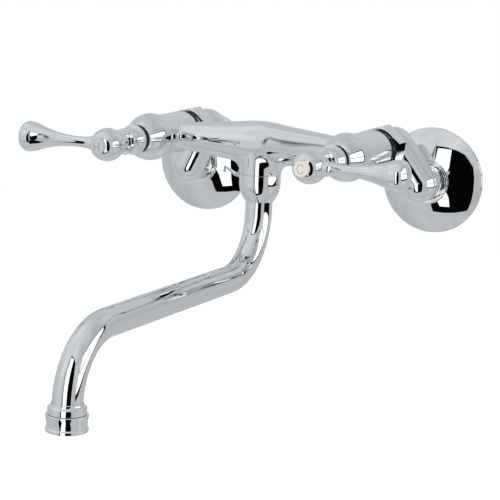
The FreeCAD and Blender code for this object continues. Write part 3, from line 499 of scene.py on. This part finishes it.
def lever(name, side):
    s = leverSizes
    flareArc = sweep(s["flarePlace"] - s["waistPlace"], s["flare"] - s["waist"])
    capArc = sweep(s["cap"], s["end"] - s["capPlace"])
    slimArc = sweep(s["waistPlace"] - s["rootEnd"] - s["slimStart"], s["slimRise"])
    return turnedPiece(f"{name}LeverShell", [
        (0, s["spigotStart"]),
        (s["spigot"], s["spigotStart"], s["spigotRound"]),
        (s["spigot"], s["rootStart"]),
        (s["root"], s["rootStart"]),
        (s["root"], s["rootEnd"], s["rootRound"]),
        (s["waist"] + s["slimRise"], s["rootEnd"] + s["slimStart"]),
        (s["waist"], s["waistPlace"], slimArc, -1),
        (s["flare"], s["flarePlace"], flareArc, -1),
        (s["bulb"], s["bulbPlace"], s["bulbArc"], 1),
        (s["cap"], s["capPlace"], s["edgeRoll"], 1),
        (0, s["end"], capArc, 1),
    ], (side * faucet["valveX"], -s["place"], 0), (side, 0, 0), f"{name}_handle", "polished_chrome",
        [f"{name}_lever"])


# Index buttons: a low rim round a slightly crowned enamel face.
indexSizes = {"radius": 5.0, "seat": 180.4, "face": 185.8, "rim": 0.5, "sunk": 0.3, "crown": 0.3,
              "rimSlope": 0.2, "seatRound": 0.2, "edgeRound": 0.35, "rimRound": 0.15}


def indexButton(name, side, enamel):
    s = indexSizes
    inner = s["radius"] - s["rim"]
    floor = s["face"] - s["sunk"]
    return turnedPiece(f"{name}IndexDisc", [
        (0, s["seat"]),
        (s["radius"], s["seat"], s["seatRound"]),
        (s["radius"], s["face"], s["edgeRound"]),
        (inner, s["face"], s["rimRound"]),
        (inner - s["rimSlope"], floor),
        (0, floor + s["crown"], sweep(inner, s["crown"]), 1),
    ], (side * faucet["valveX"], 0, 0), towardRoom, f"{name}_handle", "index_plastic",
        [f"{name}_index_button"], enamel)


# Index marks: a flat outline in x and z, drawn out along the valve axis with a small bevel.
markSizes = {"foot": 185.4, "face": 185.87, "bevel": 0.12, "letter": 2.6, "arm": 2.2, "stroke": 0.8,
             "ring": 3.4, "ringStroke": 1.0, "slim": 0.82, "mouth": 26.0, "ringPoints": 61}


def indexMark(name, side, outline):
    s = markSizes
    outline = np.asarray(outline, float)
    ahead = np.roll(outline, -1, axis=0) - outline
    ahead /= np.hypot(*ahead.T)[:, None]
    behind = np.roll(ahead, 1, axis=0)
    inward = np.stack([-ahead[:, 1] - behind[:, 1], ahead[:, 0] + behind[:, 0]], 1)
    inward /= (1 + (ahead * behind).sum(1))[:, None]
    levels = ((s["foot"], 0.0), (s["face"] - s["bevel"], 0.0), (s["face"], s["bevel"]))
    rings = [np.column_stack([side * faucet["valveX"] + flat[:, 0], np.full(len(flat), -depth), flat[:, 1]])
             for depth, inset in levels for flat in [outline + inset * inward]]
    count = len(outline)
    faces = [face for face in loopFaces(len(rings), count).tolist() if max(face) - min(face) < 2 * count]
    caps = [list(range(count)), list(range(2 * count, 3 * count))]
    return makePiece(name, np.concatenate(rings), faces + caps, f"{name.split('Index')[0]}_handle",
                     "index_plastic", material=beigeInk if side > 0 else greyInk)


# An H: the lower half, and the same turned half round.
def hotOutline():
    s = markSizes
    a, b, h, t = s["arm"], s["arm"] - s["stroke"], s["letter"], s["stroke"] / 2
    lower = [(-a, -h), (-b, -h), (-b, -t), (b, -t), (b, -h), (a, -h)]
    return lower + [(-x, -z) for x, z in lower]


# A C: the ring times (slim cos t, sin t), open by the mouth on each side, and back along its inner edge.
def coldOutline():
    s = markSizes
    angle = np.radians(np.linspace(s["mouth"], 360 - s["mouth"], s["ringPoints"]))
    arc = np.stack([np.cos(angle), np.sin(angle)], 1)
    outer, inner = s["ring"] * np.array([s["slim"], 1.0]), s["ringStroke"]
    return np.concatenate([arc * outer, arc[::-1] * (outer - inner)])


# Spout

spoutSizes = {"level": -90.3, "bend": 43.0, "start": -32.96, "outer": 9.5, "inner": 8.2, "bendPoints": 49,
              "dropPoints": 6, "turns": 128}


# A ring of radius r is carried along the path: down, a quarter bend out, level, a quarter bend down.
def spoutTube():
    s = spoutSizes
    quarter = np.radians(np.linspace(0, 90, s["bendPoints"]))
    y0, reach, bend = -faucet["bridgeFromWall"], faucet["spoutReach"], s["bend"]
    fall = np.linspace(s["start"], s["level"] + bend, s["dropPoints"])
    drop = np.stack([np.full(len(fall), y0), fall], 1)
    first = np.stack([y0 - bend * (1 - np.cos(quarter)), s["level"] + bend - bend * np.sin(quarter)], 1)
    second = np.stack([y0 - reach + bend * (1 - np.sin(quarter)),
                       s["level"] - bend * (1 - np.cos(quarter))], 1)
    path = np.concatenate([drop[:-1], first, second])
    direction = np.gradient(path, axis=0)
    direction /= np.hypot(direction[:, 0], direction[:, 1])[:, None]
    angle = np.linspace(0, 2 * math.pi, s["turns"], endpoint=False)
    walls = []
    for radius in (s["outer"], s["inner"]):
        across = radius * np.sin(angle)[None, :]
        wall = np.empty((len(path), len(angle), 3))
        wall[..., 0] = radius * np.cos(angle)
        wall[..., 1] = path[:, 0, None] - direction[:, 1, None] * across
        wall[..., 2] = path[:, 1, None] + direction[:, 0, None] * across
        walls.append(wall)
    loop = np.concatenate([walls[0], walls[1][::-1]])
    return makePiece("spoutTubeShell", loop.reshape(-1, 3), loopFaces(*loop.shape[:2]), "spout",
                     "polished_chrome", ["spout_tube"])


nutSizes = {"top": -21.4, "topRound": 0.35, "band": -27.4, "end": -40.6, "radius": 14.6, "foot": 10.1,
            "way": 9.6, "bore": 12.7, "shoulder": -34.08}


def swivelNut():
    s = nutSizes
    bowl = sweep(s["band"] - s["end"], s["radius"] - s["foot"])
    return turnedPiece("swivelNutShell", [
        (s["bore"], s["top"]),
        (s["radius"], s["top"], s["topRound"]),
        (s["radius"], s["band"]),
        (s["foot"], s["end"], bowl, -1),
        (s["way"], s["end"]),
        (s["way"], s["shoulder"]),
        (s["bore"], s["shoulder"]),
    ], bridgeMiddle, upward, "bridge", "polished_chrome", ["spout_swivel_nut"])


collarSizes = {"tubeEnd": -133.3, "end": -137.3, "endRound": 0.35, "radius": 11.9, "thread": 10.7,
               "sleeve": 9.6, "sleeveRise": 2.9, "shoulder": 10.0, "shoulderRise": 2.6, "flareArc": 3.0,
               "way": 8.2, "stop": 0.9}


def outletCollar():
    s = collarSizes
    stopEnd = s["tubeEnd"] - s["stop"]
    return turnedPiece("outletCollarShell", [
        (s["sleeve"], s["tubeEnd"]),
        (s["sleeve"], s["tubeEnd"] + s["sleeveRise"]),
        (s["shoulder"], s["tubeEnd"] + s["shoulderRise"]),
        (s["radius"], s["tubeEnd"], s["flareArc"], 1),
        (s["radius"], s["end"], s["endRound"]),
        (s["thread"], s["end"]),
        (s["thread"], stopEnd),
        (s["way"], stopEnd),
        (s["way"], s["tubeEnd"]),
    ], outletPlace, upward, "spout", "polished_chrome", ["outlet_collar"])


aeratorSizes = {
    "top": -137.4, "end": -148.0, "radius": 13.1, "rimRound": 0.6, "mouth": 9.0, "mouthRound": 0.3,
    "lip": 1.9, "waist": 12.3, "waistRise": 1.0, "waistRound": 0.4, "flareRise": 1.6, "flareLean": 0.05,
    "flareArc": 20.0, "band": 1.6, "thread": 10.6, "threadTop": -135.4, "bore": 9.5, "seat": 1.4,
}


def aeratorShell():
    s = aeratorSizes
    lipTop = s["end"] + s["lip"]
    return turnedPiece("aeratorShell", [
        (s["mouth"], s["end"], s["mouthRound"]),
        (s["radius"], s["end"], s["rimRound"]),
        (s["radius"], lipTop, s["waistRound"]),
        (s["waist"], lipTop + s["waistRise"], s["waistRound"]),
        (s["waist"] + s["flareLean"], lipTop + s["flareRise"]),
        (s["radius"], s["top"] - s["band"], s["flareArc"], -1),
        (s["radius"], s["top"], s["rimRound"]),
        (s["thread"], s["top"]),
        (s["thread"], s["threadTop"]),
        (s["bore"], s["threadTop"]),
        (s["bore"], s["end"] + s["seat"]),
        (s["mouth"], s["end"] + s["seat"]),
    ], outletPlace, upward, "spout", "polished_chrome", ["aerator_housing"])


screenSizes = {"reach": 8.95, "level": -147.05, "wire": 0.16, "pitch": 1.15, "steps": 41, "corners": 6,
               "sharpAngle": 60.0}


# The aerator's woven screen: wires along x and y, each a six-cornered rod whose radius is w, with height
# +-w cos(pi x / pitch), so that it passes over one crossing wire and under the next.
def aeratorScreen():
    s = screenSizes
    reach, rows, ring = s["reach"], s["steps"], s["corners"]
    count = int(reach // s["pitch"])
    lines = np.arange(-count, count + 1) * s["pitch"]
    half = np.sqrt(reach * reach - lines * lines)
    along = np.linspace(-1, 1, rows)
    angle = np.linspace(0, 2 * math.pi, ring, endpoint=False)
    run = half[:, None] * along
    sign = (-1.0) ** np.arange(len(lines))
    lift = sign[:, None] * s["wire"] * np.cos(math.pi * run / s["pitch"])
    u = np.broadcast_to(run[..., None], run.shape + (ring,))
    v = lines[:, None, None] + s["wire"] * np.cos(angle) + 0 * u
    points, faces = [], []
    for swapped, way in ((False, 1.0), (True, -1.0)):
        z = s["level"] + way * lift[..., None] + s["wire"] * np.sin(angle)
        flat = (v, u) if swapped else (u, v)
        points.append(np.stack([flat[0], flat[1] + outletPlace[1], z], -1).reshape(-1, 3))
    i, j = np.meshgrid(np.arange(rows - 1), np.arange(ring), indexing="ij")
    nextJ = (j + 1) % ring
    corners = (i * ring + j, i * ring + nextJ, (i + 1) * ring + nextJ, (i + 1) * ring + j)
    tube = np.stack(corners, -1).reshape(-1, 4)
    ends = [list(range(ring))[::-1], list(range((rows - 1) * ring, rows * ring))]
    for wire in range(2 * len(lines)):
        start = wire * rows * ring
        faces += (tube + start).tolist() + [[corner + start for corner in end] for end in ends]
    return makePiece("aeratorScreen", np.concatenate(points), faces, "spout", "aerator_plastic",
                     material=steel, sharpAngle=s["sharpAngle"])


# Blended joint of the bridge casting, where the boss flows into the bar. The skin runs from low to high,
# in degrees off the boss's axis.
jointSizes = {"crown": 15.7, "shoulder": 14.4, "shoulderPlace": 15.0, "barEnd": 9.2, "barEndPlace": 65.1,
              "boss": 14.6, "soft": 9.0, "lift": 0.04, "skin": 1.2, "centre": -4.0, "low": 40.4,
              "highAcross": 88.0, "highAlong": 72.0, "turns": 240, "rows": 44, "reach": 40.0, "halvings": 36,
              "edgeLifts": 3.0}


# The bar's radius at x: a shallow arc over the middle, then a cone each side.
def barRadius(x):
    s = jointSizes
    x = np.abs(x)
    arc = sweep(s["shoulderPlace"], s["crown"] - s["shoulder"])
    middle = s["crown"] - arc + np.sqrt(arc * arc - np.minimum(x, s["shoulderPlace"]) ** 2)
    slope = (s["barEnd"] - s["shoulder"]) / (s["barEndPlace"] - s["shoulderPlace"])
    return np.where(x < s["shoulderPlace"], middle, s["shoulder"] + slope * (x - s["shoulderPlace"]))


# Height above the bar and the boss, joined softly by k = soft (1 - cosine between their normals):
# min(a, b) - (k - |a - b|)^2 / 4k where |a - b| < k.
def jointField(points):
    s = jointSizes
    fromBar = points - np.array(bridgeMiddle, float)
    fromBoss = fromBar * np.array([1.0, 1.0, 0.0])
    fromBar[..., 0] = 0.0
    barReach, bossReach = np.linalg.norm(fromBar, axis=-1), np.linalg.norm(fromBoss, axis=-1)
    a, b = barReach - barRadius(points[..., 0]), bossReach - s["boss"]
    alike = (fromBar * fromBoss).sum(-1) / np.maximum(barReach * bossReach, 1e-6)
    k = np.maximum(s["soft"] * (1.0 - np.clip(alike, 0.0, 1.0)), 1e-3)
    return np.minimum(a, b) - np.maximum(k - np.abs(a - b), 0.0) ** 2 / (4.0 * k)


# A skin over the joint: rays from a point inside, at t round the boss and e off its axis, end where the
# soft height is the lift, found by halving. The two borders are sunk a little into the casting.
def bossJoint():
    s = jointSizes
    turns, rows = s["turns"], s["rows"]
    angle = np.linspace(0, 2 * math.pi, turns, endpoint=False)
    high = s["highAcross"] + (s["highAlong"] - s["highAcross"]) * np.cos(angle) ** 2
    lean = np.radians(s["low"] + (high - s["low"]) * np.linspace(0, 1, rows)[:, None])
    down = (0, 0, -1)
    ray = np.cos(lean)[..., None] * np.array(down, float) + np.sin(lean)[..., None] * spokes(down, angle)
    centre = np.array([0.0, -faucet["bridgeFromWall"], s["centre"]])
    near, far = np.zeros(lean.shape), np.full(lean.shape, s["reach"])
    for _ in range(s["halvings"]):
        middle = (near + far) / 2
        inside = jointField(centre + middle[..., None] * ray) < s["lift"]
        near, far = np.where(inside, middle, near), np.where(inside, far, middle)
    edge = np.zeros((rows, 1))
    edge[[0, -1]] = s["edgeLifts"] * s["lift"]
    shells = [centre + reach[..., None] * ray for reach in (near - edge, near - s["skin"])]
    loop = np.concatenate([shells[0], shells[1][::-1]])
    return makePiece("bossJoint", loop.reshape(-1, 3), loopFaces(2 * rows, turns), "bridge",
                     "polished_chrome")


# Rubber rings as the solids place them, with round sections: (inner, outer, low, high).
ringSizes = {
    "flangeRing": (13.05, 14.05, 5.1, 6.9),
    "cartridgeRing": (8.95, 10.4, 96.16, 97.96),
    "upperSpoutRing": (8.76, 10.46, -13.9, -12.1),
    "lowerSpoutRing": (8.76, 10.46, -19.9, -18.1),
    "round": 0.45,
}


def rubberRing(name, sizes, origin, axis, body, node):
    inner, outer, low, high = sizes
    roll = ringSizes["round"]
    section = [(inner, low, roll), (outer, low, roll), (outer, high, roll), (inner, high, roll)]
    return turnedPiece(name, section, origin, axis, body, "black_rubber", [node], turns=96)


# Pipe threads, about 14 to the inch.
unionThread = {"low": 60.15, "high": 67.5, "pitch": 1.81, "root": 12.9, "depth": 0.55, "back": 12.4}
inletThread = {"low": 1.1, "high": 14.9, "pitch": 1.81, "root": 9.55, "depth": -0.6, "back": 9.9}

for name, side in sides:
    valve = (side * faucet["valveX"], 0, 0)
    inlet = (faucet[f"{name}Inlet"][0], 0, faucet[f"{name}Inlet"][1])
    wallFlange(name)
    bonnet(name, side)
    # A black ring of painted shade in the gap behind each handle's skirt.
    skirtShadeRing(name, side)
    handleHub(name, side)
    lever(name, side)
    indexButton(name, side, ivoryEnamel if side > 0 else pearlEnamel)
    indexMark(f"{name}IndexMark", side, coldOutline() if side > 0 else hotOutline())
    smoothCopy(f"{name}ArmShell", f"{name}_arm", f"{name}_arm")
    smoothCopy(f"{name}NutShell", f"{name}_union_nut", "bridge", 12.0)
    # The union thread carries painted shade: its near-black colour stands for the shade in the recess between
    # barrel and nut.
    threadSleeve(f"{name}UnionThread", unionThread, valve, "bridge", "polished_chrome", recessShadeBrass)
    threadSleeve(f"{name}InletThread", inletThread, inlet, f"{name}_arm", "bare_brass")
    rubberRing(f"{name}FlangeRing", ringSizes["flangeRing"], inlet, towardRoom, f"{name}_arm",
               f"{name}_flange_ring")
    rubberRing(f"{name}CartridgeRing", ringSizes["cartridgeRing"], valve, towardRoom, "bridge",
               f"{name}_cartridge_ring")
for place in ("upper", "lower"):
    rubberRing(f"{place}SpoutRing", ringSizes[f"{place}SpoutRing"], bridgeMiddle, upward, "spout",
               f"{place}_spout_ring")
spoutTube()
swivelNut()
outletCollar()
aeratorShell()
aeratorScreen()
smoothCopy("bridgeShell", "bridge_body", "bridge", 50.0)
bossJoint()
print("pieces ready")


# Studio

# One where the ray is any of the named kinds.
def lightPathSum(tree, names):
    path = addNode(tree, "ShaderNodeLightPath")
    total = path.outputs[names[0]]
    for name in names[1:]:
        total = addNode(tree, "ShaderNodeMath", [(0, total), (1, path.outputs[name])],
                        operation="MAXIMUM").outputs[0]
    return total


worldGlow = {"plain": 0.9, "seen": 1.0}


# White where it is seen, also in metal and glass, and a plain even light for the rest.
def whiteWorld():
    world = bpy.data.worlds.new("whiteStudio")
    bpy.context.scene.world = world
    world.use_nodes = True
    tree = world.node_tree
    background = tree.nodes["Background"]
    background.inputs["Color"].default_value = (1, 1, 1, 1)
    seen = lightPathSum(tree, ("Is Camera Ray", "Is Glossy Ray", "Is Transmission Ray"))
    glow = stretched(tree, seen, worldGlow["plain"], worldGlow["seen"])
    tree.links.new(glow, background.inputs["Strength"])


def addStage(name, vertices, faces, material):
    mesh = bpy.data.meshes.new(name)
    mesh.from_pydata((np.asarray(vertices, float) / 1000.0).tolist(), [], [list(face) for face in faces])
    mesh.materials.append(material)
    thing = bpy.data.objects.new(name, mesh)
    bpy.context.scene.collection.objects.link(thing)
    return thing


floorSizes = {"code": "#f4f4f4", "roughness": 0.9, "glow": 0.4, "half": 12000.0, "height": -2350.0}


# Pale matt paint far below the faucet, with a glow where it is seen or mirrored.
def paleFloor():
    s = floorSizes
    material, tree, shader = newMaterial("paleFloorPaint")
    shader.inputs["Base Color"].default_value = srgb(s["code"])
    shader.inputs["Roughness"].default_value = s["roughness"]
    seen = lightPathSum(tree, ("Is Camera Ray", "Is Glossy Ray"))
    shader.inputs["Emission Color"].default_value = (1, 1, 1, 1)
    tree.links.new(stretched(tree, seen, 0.0, s["glow"]), shader.inputs["Emission Strength"])
    w, z = s["half"], s["height"]
    addStage("floor", [(-w, -w, z), (w, -w, z), (w, w, z), (-w, w, z)], [(0, 1, 2, 3)], material)


# Such a card stands outside the picture and is seen in the chrome alone.
def onlyMirrored(thing):
    thing.visible_camera = False
    thing.visible_diffuse = False
    thing.visible_shadow = False
    thing.visible_transmission = False


def clothGlow(name, code, strength):
    material, tree, shader = newMaterial(name)
    shader.inputs["Base Color"].default_value = (0, 0, 0, 1)
    shader.inputs["Specular IOR Level"].default_value = 0.0
    shader.inputs["Emission Color"].default_value = srgb(code)
    shader.inputs["Emission Strength"].default_value = strength
    return material, tree, shader


tent = {
    "code": "#fafdff", "radius": 2200.0, "around": 64, "rows": 33, "pole": 89.5,
    "low": 0.62, "high": 0.86, "glowFrom": (-0.45, -0.6, 0.66), "glowStart": 0.35,
    "fold": 1300.0, "foldShade": 0.14, "foldRange": (0.3, 0.7),
}


# Grey cloth all round the faucet: radius times (cos v cos u, cos v sin u, sin v), brighter toward one side
# and shaded by folds.
def greyTent():
    s = tent
    u = np.linspace(0, 2 * math.pi, s["around"], endpoint=False)
    v = np.radians(np.linspace(-s["pole"], s["pole"], s["rows"]))
    grid = np.stack([np.cos(v)[:, None] * np.cos(u), np.cos(v)[:, None] * np.sin(u),
                     np.sin(v)[:, None] + 0 * u], -1)
    i, j = np.meshgrid(np.arange(len(v) - 1), np.arange(len(u)), indexing="ij")
    nextJ = (j + 1) % len(u)
    w = len(u)
    faces = np.stack([i * w + j, i * w + nextJ, (i + 1) * w + nextJ, (i + 1) * w + j], -1).reshape(-1, 4)
    caps = [list(range(w))[::-1], list(range((len(v) - 1) * w, len(v) * w))]
    material, tree, shader = clothGlow("greyTentCloth", s["code"], 1.0)
    place = addNode(tree, "ShaderNodeTexCoord")
    unit = addNode(tree, "ShaderNodeVectorMath", [("Vector", place.outputs["Object"])],
                   operation="NORMALIZE")
    facing = addNode(tree, "ShaderNodeVectorMath", [(0, unit.outputs["Vector"])], operation="DOT_PRODUCT")
    facing.inputs[1].default_value = s["glowFrom"]
    glow = stretched(tree, facing.outputs["Value"], s["low"], s["high"], s["glowStart"], 1.0)
    folds = noise(tree, s["fold"], Detail=2.0, Distortion=0.6)
    shade = stretched(tree, folds.outputs["Fac"], 1.0 - s["foldShade"], 1.0 + s["foldShade"],
                      *s["foldRange"])
    both = addNode(tree, "ShaderNodeMath", [(0, glow), (1, shade)], operation="MULTIPLY")
    tree.links.new(both.outputs[0], shader.inputs["Emission Strength"])
    onlyMirrored(addStage("greyTent", s["radius"] * grid.reshape(-1, 3), faces.tolist() + caps, material))


# The windows and their dark surrounds, as the chrome in the photograph shows them, and a small flag beside
# the left lever's bulb. Each has a colour, a brightness and its corners.
cards = {
    "darkSurround": ("#050505", 1.0, [
        (-215, -1010, -1130), (850, -1010, -1130), (930, -1010, -800), (960, -1010, -400), (950, -1010, 0),
        (900, -1010, 300), (640, -1010, 620), (400, -1010, 710), (100, -1010, 770), (-200, -1010, 790),
        (-150, -1010, 520), (-100, -1010, 380), (-100, -1010, -380), (-230, -1010, -650)]),
    "frontWindow": ("#ffffff", 1.5, [
        (40, -1000, -850), (300, -1000, -850), (250, -1000, 700), (-130, -1000, 710)]),
    "bulbFlag": ("#050505", 1.0, [
        (-147, -231, -42), (-134, -231, -42), (-134, -231, 25), (-143, -231, 25)]),
    "sideSurround": ("#080808", 1.0, [
        (1195, -478, -330), (1195, -478, 640), (1490, 1080, 900), (1490, 1080, -380)]),
    "sideWindowLow": ("#ffffff", 1.5, [
        (1190, -450, -230), (1450, 900, -270), (1450, 900, 130), (1190, -450, 110)]),
    "sideWindowHigh": ("#ffffff", 1.5, [
        (1190, -450, 150), (1450, 900, 180), (1450, 900, 760), (1190, -450, 560)]),
}


def studioCards():
    for name, (code, strength, corners) in cards.items():
        material = clothGlow(name + "Cloth", code, strength)[0]
        onlyMirrored(addStage(name, corners, [range(len(corners))], material))


softCard = {"code": "#050505", "centre": (-214.0, -1005.0, 420.0), "half": (58.0, 1.0, 600.0)}


# A black flag that fades evenly from its middle to its border, for the soft smudge on the bar's right half.
def softFlag():
    s = softCard
    material, tree, shader = clothGlow("softFlagCloth", s["code"], 1.0)
    reach = addNode(tree, "ShaderNodeTexCoord").outputs["Object"]
    for operation, amount in (("SUBTRACT", s["centre"]), ("DIVIDE", s["half"])):
        step = addNode(tree, "ShaderNodeVectorMath", [(0, reach)], operation=operation)
        step.inputs[1].default_value = [v / 1000.0 for v in amount]
        reach = step.outputs["Vector"]
    reach = addNode(tree, "ShaderNodeVectorMath", [(0, reach)], operation="LENGTH").outputs["Value"]
    tree.links.new(stretched(tree, reach, 1.0, 0.0), shader.inputs["Alpha"])
    (x, y, z), (w, _, h) = s["centre"], s["half"]
    corners = [(x - w, y, z - h), (x + w, y, z - h), (x + w, y, z + h), (x - w, y, z + h)]
    onlyMirrored(addStage("softFlag", corners, [(0, 1, 2, 3)], material))


# An area lamp that the chrome doesn't mirror, with a power of pi times its radiance times its area.
def softLamp(name, centre, aim, width, height, radiance):
    lamp = bpy.data.lights.new(name, "AREA")
    lamp.shape = "RECTANGLE"
    lamp.size, lamp.size_y = width / 1000.0, height / 1000.0
    lamp.energy = radiance * math.pi * lamp.size * lamp.size_y
    holder = bpy.data.objects.new(name, lamp)
    centre, aim = Vector(centre) / 1000.0, Vector(aim) / 1000.0
    holder.location = centre
    holder.rotation_mode = "QUATERNION"
    holder.rotation_quaternion = (aim - centre).to_track_quat("-Z", "Y")
    holder.visible_glossy = False
    bpy.context.scene.collection.objects.link(holder)


keyLamp = {"centre": (-500, -1300, 1100), "aim": (0, -150, -50), "width": 900, "height": 900, "radiance": 1.0}

whiteWorld()
paleFloor()
greyTent()
studioCards()
softFlag()
softLamp("keyLamp", **keyLamp)
print("studio ready")

# The photograph's viewpoint: 26 degrees to the right, 11 above, with a slight lean. Only the far clip is
# in metres.
cameraSizes = {"azimuth": 26.11, "elevation": 10.64, "lean": 2.42, "distance": 1380.2, "lens": 130.0,
               "sensor": 36.0, "farClip": 50.0, "target": (-48.6, 0.0, -95.09)}


def setCamera():
    s = cameraSizes
    a, e, lean = (math.radians(s[k]) for k in ("azimuth", "elevation", "lean"))
    back = Vector((math.sin(a) * math.cos(e), -math.cos(a) * math.cos(e), math.sin(e)))
    right = Vector((math.cos(a), math.sin(a), 0))
    up = back.cross(right)
    right, up = math.cos(lean) * right + math.sin(lean) * up, math.cos(lean) * up - math.sin(lean) * right
    data = bpy.data.cameras.new("photoCamera")
    data.lens = s["lens"]
    data.sensor_width = s["sensor"]
    data.clip_end = s["farClip"]
    holder = bpy.data.objects.new("photoCamera", data)
    turn = Matrix((right, up, back)).transposed().to_4x4()
    place = Vector(s["target"]) / 1000 + back * s["distance"] / 1000
    holder.matrix_world = Matrix.Translation(place) @ turn
    bpy.context.scene.collection.objects.link(holder)
    bpy.context.scene.camera = holder


setCamera()
bpy.context.scene.view_settings.view_transform = "Standard"

print("scene ready")
